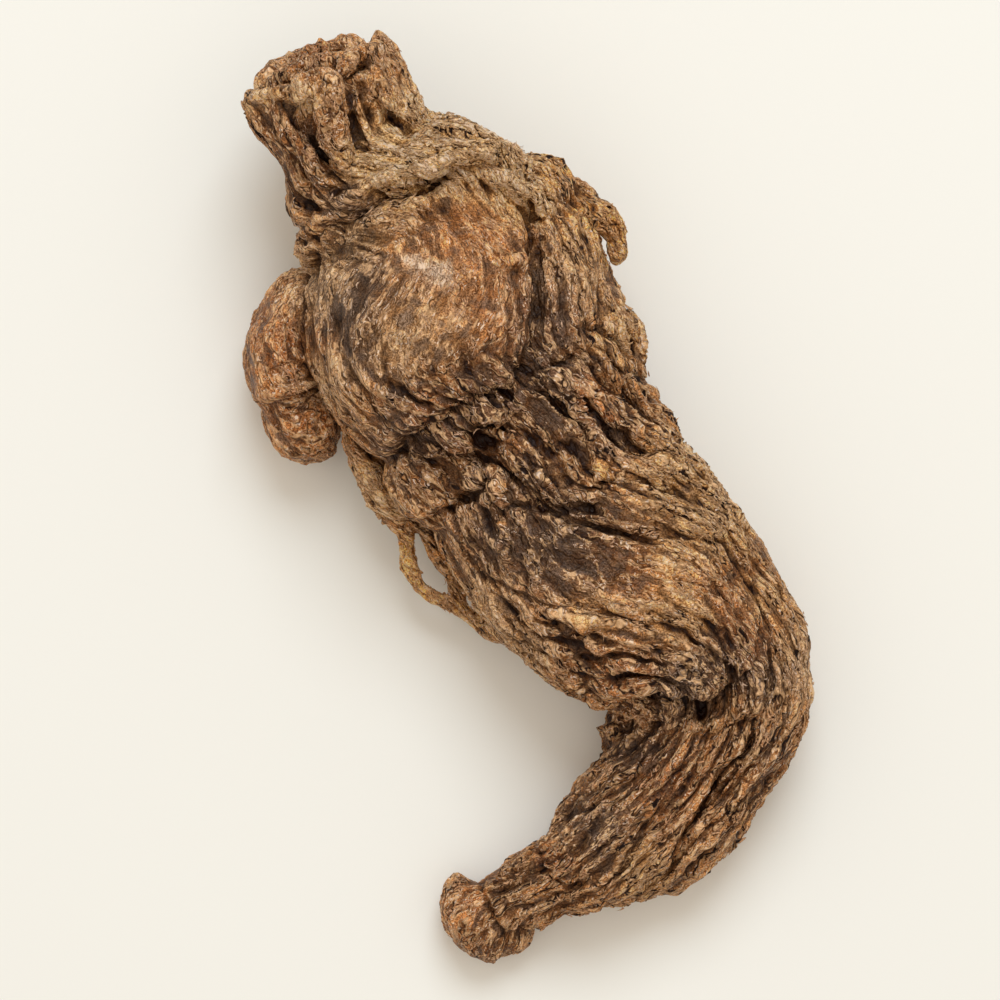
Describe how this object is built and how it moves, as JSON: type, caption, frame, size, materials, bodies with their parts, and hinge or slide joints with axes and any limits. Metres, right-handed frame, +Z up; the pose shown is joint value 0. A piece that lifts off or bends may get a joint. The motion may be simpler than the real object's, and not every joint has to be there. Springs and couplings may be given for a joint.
{
  "type": "dried rehmannia root",
  "caption": "Whole dried medicinal root lying on its side: plump bulb, broken cup-like crown, wrinkled twisted body and a tail that doubles back, with a few thin rootlets.",
  "frame": {"origin": "on the surface the root rests on, under the middle of its outline", "axes": "+Y along the root towards the broken crown, +X to the outer side of the tail's bend, +Z up"},
  "size_m": [0.0626, 0.1028, 0.0285],
  "materials": {
    "skin": "satin dried bark-like root skin, wrinkled and flaky"
  },
  "bodies": {
    "root": {"root": "skin"}
  },
  "joints": []
}
